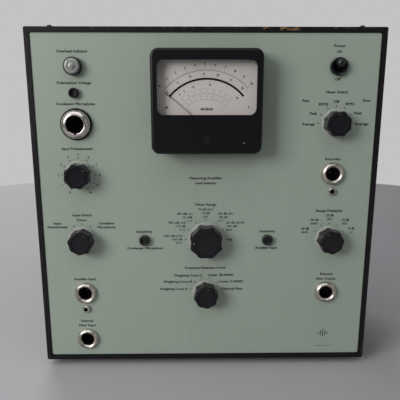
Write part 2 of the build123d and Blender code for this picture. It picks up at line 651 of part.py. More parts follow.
def microphone_socket():
    neck = MIC_BORE_R + 3.6
    save("microphone_ring", turned(*MIC, [(neck, 0), (MIC_RING_R, 0), (MIC_RING_R, 1.4),
                                          (MIC_RING_R - 0.6, 2.0), (neck, 2.0)]))
    foot_h, lip_r, mouth_h = 3.0, MIC_BORE_R + 1.3, MIC_LIP_H - 1.4
    crown = [ThreePointArc((MIC_SHELL_R, foot_h), (MIC_SHELL_R - 1.4, 6.6), (lip_r, MIC_LIP_H)),
             ThreePointArc((lip_r, MIC_LIP_H), (MIC_BORE_R + 0.4, MIC_LIP_H - 0.4),
                           (MIC_BORE_R, mouth_h))]
    corners = [(MIC_BORE_R, mouth_h), (MIC_BORE_R, -MIC_FREE), (MIC_INSERT_R, -MIC_FREE),
               (MIC_INSERT_R, -14), (neck, -14), (neck, 2.0), (MIC_SHELL_R, 2.0),
               (MIC_SHELL_R, foot_h)]
    sides = [Line(a, b) for a, b in zip(corners, corners[1:])]
    shell = at_panel(*MIC, revolve(make_face(sides + crown), Axis.Y))
    key = block(-1.2, 1.2, -MIC_FREE, MIC_LIP_H + 1, MIC_BORE_R - 0.9, MIC_BORE_R + 1.7)
    save("microphone_shell", shell - at_panel(*MIC, key))
    insert = rod(*MIC, -14, -MIC_FREE, MIC_INSERT_R)
    for i in range(7):
        turn = math.radians(360 * i / 6)
        reach = 5.4 if i < 6 else 0.0
        insert -= rod(MIC[0] + reach * math.sin(turn), MIC[1] + reach * math.cos(turn),
                      -12, -MIC_FREE + 1, 0.9)
    return insert


def lamp():
    neck = LENS_R + 0.9
    bezel = turned(*LAMP, [(LENS_R, LAMP_H - 0.3), (LENS_R + 0.3, LAMP_H), (LAMP_R - 0.9, LAMP_H),
                           (LAMP_R - 0.3, LAMP_H - 0.7), (LAMP_R, 0), (neck, 0), (neck, -12),
                           (LENS_R, -12)])
    save("lamp_bezel", bezel)
    inner_r, ring_r, eye_r = LENS_R - 1.4, 5.2, 4.3
    step_h, top_h = LAMP_H + 2.4, LAMP_H + 4.4
    shoulder = ThreePointArc((LENS_R, LAMP_H), (LENS_R - 0.9, LAMP_H + 1.6), (ring_r, step_h))
    outline = [Line((LENS_R, -2), (LENS_R, LAMP_H)), shoulder,
               Line((ring_r, step_h), (eye_r, step_h - 0.5)), dome(eye_r, step_h - 0.5, top_h),
               Line((0, top_h), (0, LAMP_H + 1.0)), dome(inner_r, LAMP_H - 1.6, LAMP_H + 1.0),
               Line((inner_r, LAMP_H - 1.6), (inner_r, -2)), Line((inner_r, -2), (LENS_R, -2))]
    save("lamp_lens", at_panel(*LAMP, revolve(make_face(outline), Axis.Y)))
    bulb = turned(*LAMP, [(0, -16), (LENS_R - 0.4, -16), (LENS_R - 0.4, -12), (4.4, -12),
                          (4.4, -2), (3.2, 0.5), (3.2, 3.6), (1.9, 5.2), (0, 5.2)])
    save("lamp_bulb", bulb)


PIVOT_H, TIP_H, TIP_R = -4.0, 7.8, 4.6
PIN_HALF, PIVOT_PIN_R = 5.6, 0.9


def power_switch():
    body = turned(*POWER, [(4.6, -11), (4.6, 0.6), (7.2, 4.4), (8.6, 5.0), (9.5, 4.0), (9.5, 0),
                           (6.5, 0), (6.5, -12), (4.6, -12)])
    body += plate(*POWER, 24, 30, 2, -34, -12)
    across = Rot(0, 90, 0)
    body -= at_panel(*POWER, Pos(0, PIVOT_H, 0) * across
                     * Cylinder(PIVOT_PIN_R + RUNNING, 2 * PIN_HALF + 0.4))
    save("power_switch", body)
    reach = TIP_H - PIVOT_H
    lever = Pos(0, reach / 2, 0) * Rot(90, 0, 0) * Cylinder(2.4, reach) + Sphere(3.6)
    lever += Pos(0, reach, 0) * Sphere(TIP_R)
    lever += across * Cylinder(PIVOT_PIN_R, 2 * PIN_HALF)
    lever = Pos(0, PIVOT_H, 0) * Rot(-LEVER_TILT, 0, 0) * lever
    save("power_lever", at_panel(*POWER, lever))


case()
lid_pegs()
handle()
feet()
screws()
front_panel()
chassis()
back_cover()
transformer()
valves_and_capacitors()
inlet, inlet_pins = mains_inlet()
save("inlet_and_fuse_holder", inlet, fuse())
meter()
controls()
adjusters()
coax_inserts, coax_contacts = sockets()
save("contact_pins", *inlet_pins, *coax_contacts)
save("socket_inserts", *coax_inserts, microphone_socket())
lamp()
power_switch()
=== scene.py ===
import json
import math

import bmesh
import bpy
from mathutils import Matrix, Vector


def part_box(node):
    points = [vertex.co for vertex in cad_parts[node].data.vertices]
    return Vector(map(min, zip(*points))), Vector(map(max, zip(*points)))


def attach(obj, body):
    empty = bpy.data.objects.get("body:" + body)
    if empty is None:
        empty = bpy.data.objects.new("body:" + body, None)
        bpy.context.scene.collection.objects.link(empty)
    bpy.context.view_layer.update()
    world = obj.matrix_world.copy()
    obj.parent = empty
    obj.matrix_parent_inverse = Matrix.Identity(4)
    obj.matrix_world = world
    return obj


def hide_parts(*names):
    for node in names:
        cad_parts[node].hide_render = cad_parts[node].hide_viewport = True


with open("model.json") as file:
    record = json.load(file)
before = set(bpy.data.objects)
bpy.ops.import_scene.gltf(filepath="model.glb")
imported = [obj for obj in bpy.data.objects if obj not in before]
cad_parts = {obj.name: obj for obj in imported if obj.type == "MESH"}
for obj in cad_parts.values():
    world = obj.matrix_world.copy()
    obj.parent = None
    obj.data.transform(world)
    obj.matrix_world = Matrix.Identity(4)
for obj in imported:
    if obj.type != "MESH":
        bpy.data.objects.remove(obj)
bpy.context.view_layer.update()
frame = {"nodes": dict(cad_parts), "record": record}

scene = bpy.context.scene
MM = 0.001

# ---- places taken from the frame -----------------------------------------------------------------
# px runs to the right and pz up from the panel's centre, and h out of it.
panel_lo, panel_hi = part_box("front_panel")
PANEL_Y = panel_lo.y
PANEL_Z = (panel_lo.z + panel_hi.z) / 2


def at(px, pz, h=0.0):
    """A point given in millimetres on the panel, in the row frame."""
    return Vector((px * MM, PANEL_Y - h * MM, PANEL_Z + pz * MM))


def centre_of(node):
    """The middle of a node, as (px, pz) in millimetres."""
    lo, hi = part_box(node)
    return (lo.x + hi.x) / 2 / MM, ((lo.z + hi.z) / 2 - PANEL_Z) / MM


def height_of(node):
    """How far a node stands out of the panel, in millimetres."""
    return (PANEL_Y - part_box(node)[0].y) / MM


case_lo = Vector([min(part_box(n)[0][i] for n in ("case_top", "case_bottom")) for i in range(3)])
case_hi = Vector([max(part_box(n)[1][i] for n in ("case_top", "case_bottom")) for i in range(3)])

# ---- camera --------------------------------------------------------------------------------------
CAMERA_AT = (-13.7, 119.1, 519.2)
PITCH_DOWN, YAW_RIGHT, LENS = 12.335, 0.761, 42.62

camera_data = bpy.data.cameras.new("camera")
camera = bpy.data.objects.new("camera", camera_data)
scene.collection.objects.link(camera)
camera.location = at(*CAMERA_AT)
camera.rotation_euler = (math.radians(90 - PITCH_DOWN), 0, math.radians(-YAW_RIGHT))
camera_data.lens = LENS
camera_data.clip_start = 0.01
scene.camera = camera


# ---- node materials ------------------------------------------------------------------------------
class Paint:
    """A Principled material with short ways to add procedural detail to it."""

    def __init__(self, name, colour, roughness=0.5, metallic=0.0, **sockets):
        self.material = bpy.data.materials.new(name)
        self.material.use_nodes = True
        self.tree = self.material.node_tree
        self.shader = self.tree.nodes["Principled BSDF"]
        self.set("Base Color", (*colour, 1.0))
        self.set("Roughness", roughness)
        self.set("Metallic", metallic)
        for socket, value in sockets.items():
            self.set(socket.replace("_", " "), value)
        self.colour = None
        self.normal = None

    def set(self, socket, value):
        self.shader.inputs[socket].default_value = value

    def node(self, kind, **values):
        made = self.tree.nodes.new("ShaderNode" + kind)
        for key, value in values.items():
            setattr(made, key, value)
        return made

    def link(self, out, into):
        self.tree.links.new(out, into)

    def place(self, scale=(1, 1, 1)):
        """The surface's own coordinates in metres, stretched if asked."""
        coordinates = self.node("TexCoord").outputs["Object"]
        mapping = self.node("Mapping")
        mapping.inputs["Scale"].default_value = scale
        self.link(coordinates, mapping.inputs["Vector"])
        return mapping.outputs["Vector"]

    def noise(self, scale, detail=4.0, rough=0.55, stretch=(1, 1, 1)):
        made = self.node("TexNoise")
        made.inputs["Scale"].default_value = scale
        made.inputs["Detail"].default_value = detail
        made.inputs["Roughness"].default_value = rough
        self.link(self.place(stretch), made.inputs["Vector"])
        return made.outputs["Fac"]

    def cells(self, scale, feature="F1", stretch=(1, 1, 1)):
        made = self.node("TexVoronoi", feature=feature)
        made.inputs["Scale"].default_value = scale
        self.link(self.place(stretch), made.inputs["Vector"])
        return made.outputs["Distance"]

    def ramp(self, fac, *stops):
        """Maps a number through (place, value) stops, where a value is a number or a colour."""
        made = self.node("ValToRGB")
        elements = made.color_ramp.elements
        while len(elements) < len(stops):
            elements.new(0.5)
        for element, (place, value) in zip(elements, stops):
            element.position = place
            grey = isinstance(value, (int, float))
            element.color = (value, value, value, 1.0) if grey else (*value, 1.0)
        self.link(fac, made.inputs["Fac"])
        return made.outputs["Color"]

    def maths(self, operation, a, b, clamp=True):
        made = self.node("Math", operation=operation, use_clamp=clamp)
        for socket, value in zip(made.inputs, (a, b)):
            if isinstance(value, (int, float)):
                socket.default_value = value
            else:
                self.link(value, socket)
        return made.outputs["Value"]

    def blend_colour(self, mask, colour):
        """Lays another colour, or a colour from a ramp, over the base where the mask is bright."""
        mix = self.node("Mix", data_type="RGBA")
        factor, under, over = mix.inputs["Factor"], mix.inputs[6], mix.inputs[7]
        self.link(mask, factor)
        if self.colour is None:
            under.default_value = self.shader.inputs["Base Color"].default_value
        else:
            self.link(self.colour, under)
        if isinstance(colour, tuple):
            over.default_value = (*colour, 1.0)
        else:
            self.link(colour, over)
        self.colour = mix.outputs[2]
        self.link(self.colour, self.shader.inputs["Base Color"])

    def rough(self, fac, low, high):
        """Makes the roughness run from one value to another."""
        self.link(self.ramp(fac, (0.0, low), (1.0, high)), self.shader.inputs["Roughness"])

    def bump(self, fac, strength, distance):
        """Raises the surface where a number is high, by a distance in metres."""
        made = self.node("Bump")
        made.inputs["Strength"].default_value = strength
        made.inputs["Distance"].default_value = distance
        self.link(fac, made.inputs["Height"])
        if self.normal is not None:
            self.link(self.normal, made.inputs["Normal"])
        self.normal = made.outputs["Normal"]
        self.link(self.normal, self.shader.inputs["Normal"])


def between(p, socket, low, high, soft):
    """A mask that is 1 where a coordinate lies between two values, with soft ends."""
    rise = p.maths("DIVIDE", p.maths("SUBTRACT", socket, low - soft, False), soft)
    fall = p.maths("DIVIDE", p.maths("SUBTRACT", high + soft, socket, False), soft)
    return p.maths("MULTIPLY", rise, fall)


def axes(p):
    """The x, y and z of the surface in the row frame, in metres."""
    split = p.node("SeparateXYZ")
    p.link(p.node("TexCoord").outputs["Object"], split.inputs["Vector"])
    return split.outputs["X"], split.outputs["Y"], split.outputs["Z"]


def enamel():
    p = Paint("panel_enamel", (0.300, 0.352, 0.296), 0.42, Coat_Weight=0.12, Coat_Roughness=0.25)
    p.blend_colour(p.ramp(p.noise(9, 3), (0.35, 0.0), (0.75, 0.45)), (0.285, 0.332, 0.275))
    handled = p.noise(45, 7, 0.7, stretch=(1, 1, 0.4))
    p.blend_colour(p.ramp(handled, (0.58, 0.0), (0.78, 0.3)), (0.245, 0.268, 0.215))
    specks = p.ramp(p.cells(75), (0.0, 1.0), (0.035, 1.0), (0.045, 0.0))
    some = p.ramp(p.noise(30, 2), (0.56, 0.0), (0.6, 0.8))
    p.blend_colour(p.maths("MULTIPLY", specks, some), (0.07, 0.065, 0.05))
    p.rough(handled, 0.34, 0.52)
    p.bump(p.noise(700, 2), 0.10, 0.0002)
    p.bump(p.noise(70, 2), 0.04, 0.0008)
    return p.material


def pebbled(p, size, strength):
    """Leather grain: rounded pebbles of a given size in metres, with finer creases between."""
    pebbles = p.cells(1 / size, feature="SMOOTH_F1", stretch=(1.0, 0.85, 1.1))
    p.bump(p.ramp(pebbles, (0.0, 1.0), (0.55, 0.25), (0.9, 0.0)), strength, 0.0004)
    p.bump(p.noise(2.2 / size, 3), strength * 0.5, 0.0002)


def leathercloth():
    """Black cloth-backed covering, rubbed grey on the corners and chipped to the wood on top."""
    p = Paint("black_leathercloth", (0.0060, 0.0058, 0.0064), 0.5, Specular_IOR_Level=0.2)
    pebbled(p, 0.0011, 0.42)
    p.rough(p.noise(60, 6, 0.6), 0.36, 0.6)
    p.blend_colour(p.ramp(p.noise(18, 7, 0.65), (0.5, 0.0), (0.9, 0.4)), (0.018, 0.017, 0.016))
    x, y, z = axes(p)
    front, top, half = case_lo.y, case_hi.z, case_hi.x
    past = 10 * MM                          # how far a mask runs on outside the case
    rub = 1.5 * MM                          # width of the rubbed line along an edge
    beside = p.maths("ABSOLUTE", x, 0.0, False)
    corner = p.maths("ADD", between(p, beside, half - rub, half + past, 1 * MM),
                     between(p, z, top - rub, top + past, 1 * MM))
    edge = p.maths("MULTIPLY", corner, between(p, y, front - past, front + 1.2 * MM, 1.2 * MM))
    rubbed = p.ramp(p.noise(240, 6, 0.7), (0.54, 0.0), (0.68, 1.0))
    p.blend_colour(p.maths("MULTIPLY", edge, rubbed), (0.085, 0.068, 0.055))
    on_edge = p.maths("MULTIPLY", between(p, z, top - 3.4 * MM, top + past, 0.6 * MM),
                      between(p, y, front - past, front + 7 * MM, 1 * MM))
    dents = p.maths("ADD", between(p, x, 84 * MM, 100 * MM, 4 * MM),
                    p.maths("MULTIPLY", between(p, x, 60 * MM, 80 * MM, 6 * MM), 0.76))
    torn = p.noise(330, 5, 0.62, stretch=(0.55, 1, 1))
    wood = p.maths("MULTIPLY", p.maths("MULTIPLY", on_edge, dents),
                   p.ramp(torn, (0.50, 0.0), (0.54, 1.0)))
    wood = p.ramp(wood, (0.62, 0.0), (0.72, 1.0))
    grain = p.ramp(p.noise(420, 4, 0.6, stretch=(0.12, 1, 1)), (0.35, (0.11, 0.055, 0.022)),
                   (0.75, (0.36, 0.215, 0.105)))
    p.blend_colour(wood, grain)
    p.bump(wood, 0.8, -0.0005)
    return p.material


def phenolic_black(name="black_phenolic", roughness=(0.2, 0.34), shine=0.5):
    p = Paint(name, (0.0062, 0.0060, 0.0072), 0.27, Specular_IOR_Level=shine)
    p.rough(p.noise(160, 5, 0.6), *roughness)
    p.blend_colour(p.ramp(p.noise(210, 6, 0.7), (0.58, 0.0), (0.82, 0.22)), (0.05, 0.047, 0.044))
    p.bump(p.noise(320, 3), 0.05, 0.0003)
    return p.material


def tarnished(name, colour, rough, amount=0.6):
    """Bright plate with brown tarnish and small pits; more can be painted over it."""
    p = Paint(name, colour, 0.2, 1.0)
    p.rough(p.noise(90, 4, 0.6), *rough)
    p.blend_colour(p.ramp(p.noise(60, 4, 0.6), (0.48, 0.0), (0.8, amount)), (0.34, 0.285, 0.235))
    pits = p.ramp(p.cells(1100), (0.0, 1.0), (0.16, 0.0))
    p.blend_colour(p.maths("MULTIPLY", pits, p.ramp(p.noise(400), (0.52, 0.0), (0.6, 0.8))),
                   (0.14, 0.11, 0.08))
    p.bump(p.noise(900, 2), 0.04, 0.00005)
    return p


def nickel(name="nickel_plate", colour=(0.60, 0.565, 0.52)):
    return tarnished(name, colour, (0.2, 0.34)).material


def lined(name, colour, rough, bore_r, centres):
    """Plated sockets whose bores are painted black, as painted shade standing in for the shadow deep in
    the holes.
    """
    p = tarnished(name, colour, rough, 0.4)
    x, _, z = axes(p)
    painted_bore_shade = 0.0
    for cx, cz in centres:
        middle = at(cx, cz)
        across = p.maths("POWER", p.maths("SUBTRACT", x, middle.x, False), 2.0, False)
        along = p.maths("POWER", p.maths("SUBTRACT", z, middle.z, False), 2.0, False)
        near = p.maths("LESS_THAN", p.maths("ADD", across, along, False), (bore_r * MM) ** 2)
        painted_bore_shade = p.maths("MAXIMUM", near, painted_bore_shade)
    # painted shade: the bores are coloured black and made non-metallic, standing in for the shadow in
    # the holes
    p.blend_colour(painted_bore_shade, (0.003, 0.003, 0.003))
    p.link(p.maths("SUBTRACT", 1.0, painted_bore_shade), p.shader.inputs["Metallic"])
    return p.material


def plain_metal(name, colour, rough):
    """Drawn or brushed metal, with its grain up and down."""
    p = Paint(name, colour, 0.35, 1.0)
    grain = (1, 1, 12)
    p.rough(p.noise(200, 4, 0.6, stretch=grain), *rough)
    p.blend_colour(p.ramp(p.noise(130, 5, 0.6), (0.5, 0.0), (0.85, 0.5)),
                   tuple(c * 0.6 for c in colour))
    p.bump(p.noise(500, 3, stretch=grain), 0.1, 0.0001)
    return p.material


def see_through(name, colour, alpha, rough):
    """A thin clear sheet: mostly transparent, so that what is behind it keeps its light."""
    p = Paint(name, colour, rough, Alpha=alpha, IOR=1.49)
    p.rough(p.noise(300, 4), rough, rough * 2.2)
    p.material.surface_render_method = "BLENDED"
    return p.material


def cloudy_acrylic():
    """Clear acrylic, scuffed pale, that shows the panel through itself."""
    p = Paint("clear_acrylic", (0.60, 0.61, 0.58), 0.16, Alpha=0.42, IOR=1.49, Coat_Weight=1.0,
              Coat_Roughness=0.12)
    p.rough(p.noise(220, 4), 0.1, 0.24)
    p.blend_colour(p.ramp(p.noise(160, 4), (0.5, 0.0), (0.8, 0.4)), (0.34, 0.33, 0.27))
    p.bump(p.noise(200, 2), 0.03, 0.0002)
    p.material.surface_render_method = "BLENDED"
    return p.material


def polished_knob():
    """Black moulded knobs, polished on the flanks by fingers."""
    p = Paint("knob_phenolic", (0.0140, 0.0128, 0.0158), 0.16, Specular_IOR_Level=0.16)
    p.rough(p.noise(160, 5, 0.6), 0.11, 0.2)
    p.blend_colour(p.ramp(p.noise(230, 6, 0.7), (0.6, 0.0), (0.85, 0.2)), (0.04, 0.038, 0.036))
    p.bump(p.noise(320, 3), 0.04, 0.0002)
    return p.material


def milky_lens():
    """Moulded lens plastic that has gone cloudy, so that it glows grey in the room's light."""
    p = Paint("lamp_lens_plastic", (0.40, 0.41, 0.39), 0.16, IOR=1.49, Coat_Weight=0.5,
              Coat_Roughness=0.05, Transmission_Weight=0.35)
    p.rough(p.noise(160, 4), 0.12, 0.24)
    p.blend_colour(p.ramp(p.noise(130, 4), (0.45, 0.0), (0.8, 0.5)), (0.30, 0.30, 0.28))
    p.bump(p.noise(150, 2), 0.03, 0.0003)
    return p.material


def rubber():
    p = Paint("black_rubber", (0.012, 0.012, 0.012), 0.75)
    p.rough(p.noise(200, 4), 0.6, 0.85)
    p.bump(p.noise(700, 3), 0.2, 0.0002)
    dust = p.noise(80, 6)
    p.blend_colour(p.ramp(dust, (0.5, 0.0), (0.85, 0.5)), (0.06, 0.055, 0.05))
    return p.material


def lacquer():
    p = Paint("black_lacquer", (0.016, 0.016, 0.017), 0.4)
    p.rough(p.noise(120, 5), 0.3, 0.5)
    p.bump(p.noise(1300, 2), 0.25, 0.00015)
    scratches = p.noise(60, 8, 0.75, stretch=(1, 1, 9))
    p.blend_colour(p.ramp(scratches, (0.66, 0.0), (0.74, 0.4)), (0.09, 0.085, 0.08))
    return p.material


def brown_phenolic():
    p = Paint("brown_phenolic", (0.030, 0.014, 0.009), 0.42)
    p.blend_colour(p.ramp(p.noise(500, 4, stretch=(1, 6, 1)), (0.4, 0.0), (0.7, 0.6)),
                   (0.055, 0.026, 0.014))
    p.bump(p.noise(900, 3), 0.1, 0.0001)
    return p.material


def strap_leather():
    p = Paint("strap_leather", (0.014, 0.010, 0.009), 0.5)
    pebbled(p, 0.0013, 0.4)
    p.rough(p.noise(90, 5), 0.35, 0.6)
    worn = p.noise(55, 6, 0.7)
    p.blend_colour(p.ramp(worn, (0.55, 0.0), (0.85, 0.7)), (0.075, 0.045, 0.028))
    return p.material


def pointer_paint():
    """Pale lacquer on the pointer's arm, black on its tip."""
    p = Paint("pointer_lacquer", (0.34, 0.31, 0.29), 0.5)
    x, _, z = axes(p)
    hub = at(*PIVOT)
    away = p.maths("ADD", p.maths("POWER", p.maths("SUBTRACT", x, hub.x, False), 2.0, False),
                   p.maths("POWER", p.maths("SUBTRACT", z, hub.z, False), 2.0, False), False)
    tip = p.ramp(p.maths("MULTIPLY", away, 1 / (POINTER_LONG * MM) ** 2), (0.68, 0.0), (0.70, 1.0))
    p.blend_colour(tip, (0.012, 0.011, 0.012))
    p.bump(p.noise(900, 2), 0.05, 0.0001)
    return p.material


def dial_white():
    p = Paint("dial_white", (0.68, 0.632, 0.605), 0.6)
    aged = p.noise(35, 4)
    p.blend_colour(p.ramp(aged, (0.4, 0.0), (0.8, 0.35)), (0.58, 0.51, 0.44))
    p.bump(p.noise(1500, 2), 0.08, 0.00005)
    return p.material


def ink(name, colour):
    """Screen-printed paint, a little thin in places."""
    p = Paint(name, colour, 0.75, Specular_IOR_Level=0.12)
    p.blend_colour(p.ramp(p.noise(1500, 4), (0.5, 0.0), (0.8, 0.25)),
                   tuple(c * 2.2 + 0.01 for c in colour))
    return p.material


MATERIALS = {
    "covering": leathercloth(),
    "rubber": rubber(),
    "black_metal": lacquer(),
    "strap": strap_leather(),
    "plated_steel": nickel(),
    "panel": enamel(),
    "zinc_steel": plain_metal("zinc_steel", (0.5, 0.5, 0.48), (0.3, 0.5)),
    "bakelite": phenolic_black(),
    "clear_skirt": cloudy_acrylic(),
    "window_glass": see_through("window_glass", (0.01, 0.01, 0.01), 0.05, 0.03),
    "dial_paint": dial_white(),
    "magnet_iron": plain_metal("magnet_iron", (0.2, 0.2, 0.21), (0.35, 0.55)),
    "pointer_aluminium": ink("pointer_black", (0.01, 0.01, 0.01)),
    "shaft_steel": plain_metal("shaft_steel", (0.55, 0.54, 0.52), (0.25, 0.4)),
    "brass_nickel": nickel("nickelled_brass", (0.62, 0.58, 0.48)),
    "phenolic": brown_phenolic(),
    "blackened_steel": plain_metal("blackened_steel", (0.075, 0.075, 0.07), (0.35, 0.5)),
    "lamp_glass": milky_lens(),
    "bulb_glass": plain_metal("bulb_brass", (0.7, 0.62, 0.42), (0.2, 0.35)),
    "valve_glass": see_through("valve_glass", (0.3, 0.32, 0.32), 0.5, 0.05),
    "can_aluminium": plain_metal("can_aluminium", (0.65, 0.65, 0.66), (0.3, 0.45)),
    "transformer_iron": lacquer(),
}
LEFT_X, RIGHT_X = centre_of("input_switch_skirt")[0], centre_of("range_multiplier_skirt")[0]
JACKS = [(LEFT_X, -105.0), (LEFT_X, -163.0), (RIGHT_X, 35.2), (RIGHT_X, -105.0)]
GROUNDS = [(LEFT_X, -124.7), (RIGHT_X + 0.2, 15.3)]
PIVOT = (0.0, 86.5)                         # the pointer's hub
POINTER_LONG = 57.0
OWN_MATERIALS = {
    "meter_pointer": pointer_paint(),
    "meter_zero_screw": phenolic_black("zero_screw_phenolic", (0.35, 0.5), 0.4),
    "meter_case": phenolic_black("meter_phenolic", (0.28, 0.4), 0.22),
    "socket_inserts": phenolic_black("black_insulator", (0.5, 0.6), 0.2),
    # painted shade: the contact pins are coloured very dark, standing in for the shadow deep in the
    # sockets
    "contact_pins": plain_metal("painted_shade_contacts", (0.10, 0.085, 0.06), (0.4, 0.55)),
    "coax_shells": lined("jack_nickel", (0.60, 0.555, 0.50), (0.26, 0.36), 7.3, JACKS),
    "microphone_shell": lined("socket_chrome", (0.66, 0.60, 0.575), (0.22, 0.32), 9.5,
                              [centre_of("microphone_shell")]),
    "ground_sockets": lined("ground_socket_nickel", (0.62, 0.59, 0.54), (0.14, 0.22), 2.4, GROUNDS),
}
KNOBS = ("input_potentiometer", "input_switch", "meter_switch", "range_multiplier",
         "frequency_switch", "meter_range")
OWN_MATERIALS.update({f"{name}_knob": polished_knob() for name in KNOBS})
for entry in frame["record"]["subparts"]:
    node = frame["nodes"][entry["node"]]
    node.data.materials.clear()
    node.data.materials.append(OWN_MATERIALS.get(entry["node"], MATERIALS[entry["material_slot"]]))


# ---- mesh building -------------------------------------------------------------------------------
def piece(name, bm, material, body="case", smooth=False):
    """Turns a bmesh in the row frame into a piece that rides on a body."""
    mesh = bpy.data.meshes.new(name)
    bmesh.ops.recalc_face_normals(bm, faces=bm.faces)
    bm.to_mesh(mesh)
    bm.free()
    made = bpy.data.objects.new(name, mesh)
    scene.collection.objects.link(made)
    mesh.materials.append(material)
    if smooth:
        mesh.polygons.foreach_set("use_smooth", [True] * len(mesh.polygons))
    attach(made, body)
    return made


def slab(bm, outline, h0, h1):
    """A flat print: an outline in panel millimetres, from one height over the panel to another."""
    low = [bm.verts.new(at(x, z, h0)) for x, z in outline]
    high = [bm.verts.new(at(x, z, h1)) for x, z in outline]
    bm.faces.new(low)
    bm.faces.new(high)
    for i in range(len(outline)):
        j = (i + 1) % len(outline)
        bm.faces.new((low[i], low[j], high[j], high[i]))


PRINT_T = 0.05                              # thickness of printed paint, in millimetres
STRIKES = ((-0.048, -0.03), (0.048, -0.03), (0.0, 0.045))       # shifts, in capitals' heights
STRIKE_T = 0.003                            # how much thicker each strike is than the last
CAPITAL_SHARE = 0.729                       # height of a capital in lettering of size 1


def around(cx, cz, radius, angle):
    """A point at a clock angle in degrees, clockwise from up."""
    turn = math.radians(angle)
    return cx + radius * math.sin(turn), cz + radius * math.cos(turn)


def dot(bm, x, z, radius, h, sides=16):
    """A round printed dot."""
    slab(bm, [around(x, z, radius, 360 * i / sides) for i in range(sides)], h, h + PRINT_T)


def bar(bm, x0, z0, x1, z1, width, h):
    """A straight stroke between two points."""
    along = Vector((x1 - x0, z1 - z0))
    side = Vector((-along.y, along.x)).normalized() * width / 2
    corners = [(x0 + side.x, z0 + side.y), (x1 + side.x, z1 + side.y),
               (x1 - side.x, z1 - side.y), (x0 - side.x, z0 - side.y)]
    slab(bm, corners, h, h + PRINT_T)


def tick(bm, radius, long, angle, width, h):
    """A short stroke of a scale round the pointer's hub, outwards, or inwards if long is negative."""
    bar(bm, *around(*PIVOT, radius, angle), *around(*PIVOT, radius + long, angle), width, h)


def arc_band(bm, cx, cz, r0, r1, a0, a1, h, steps=48):
    """A band between two radii and two clock angles, as a row of joined quads with thickness."""
    rings = []
    for i in range(steps + 1):
        angle = a0 + (a1 - a0) * i / steps
        inner, outer = around(cx, cz, r0, angle), around(cx, cz, r1, angle)
        rings.append([bm.verts.new(at(*p, k)) for k in (h, h + PRINT_T) for p in (inner, outer)])
    for a, b in zip(rings, rings[1:]):
        bm.faces.new((a[0], b[0], b[1], a[1]))
        bm.faces.new((a[2], a[3], b[3], b[2]))
        bm.faces.new((a[0], a[2], b[2], b[0]))
        bm.faces.new((a[1], b[1], b[3], a[3]))
    for end in (rings[0], rings[-1]):
        bm.faces.new((end[0], end[1], end[3], end[2]))


def add_text(bm, words, x, z, cap, h, width=None, turn=0.0):
    """Adds flat lettering centred at x and z, with capitals of a given height in millimetres.

    With a width, the line is stretched or squeezed to it. Each letter is struck three times, a
    little apart, to make it bold.
    """
    curve = bpy.data.curves.new("lettering", "FONT")
    curve.body = words
    curve.size = 1.0
    curve.align_x = "CENTER"
    curve.resolution_u = 2
    curve.extrude = 0.5
    holder = bpy.data.objects.new("lettering", curve)
    scene.collection.objects.link(holder)
    bpy.context.view_layer.update()
    mesh = bpy.data.meshes.new_from_object(
        holder.evaluated_get(bpy.context.evaluated_depsgraph_get()))
    bpy.data.objects.remove(holder)
    bpy.data.curves.remove(curve)
    xs = [v.co.x for v in mesh.vertices]
    scale = cap / CAPITAL_SHARE
    natural = (max(xs) - min(xs)) * scale
    squeeze = width / natural if width else 1.0
    shift = -(max(xs) + min(xs)) / 2 * scale * squeeze
    angle = math.radians(turn)
    flat = [v.co.copy() for v in mesh.vertices]
    for strike, (right, up) in enumerate(STRIKES):
        for v, co in zip(mesh.vertices, flat):
            a = co.x * scale * squeeze + shift + right * cap
            b = co.y * scale - cap / 2 + up * cap
            u = a * math.cos(angle) + b * math.sin(angle)
            w = b * math.cos(angle) - a * math.sin(angle)
            v.co = at(x + u, z + w, h + (PRINT_T + STRIKE_T * strike) * (co.z + 0.5))
        bm.from_mesh(mesh)
    bpy.data.meshes.remove(mesh)


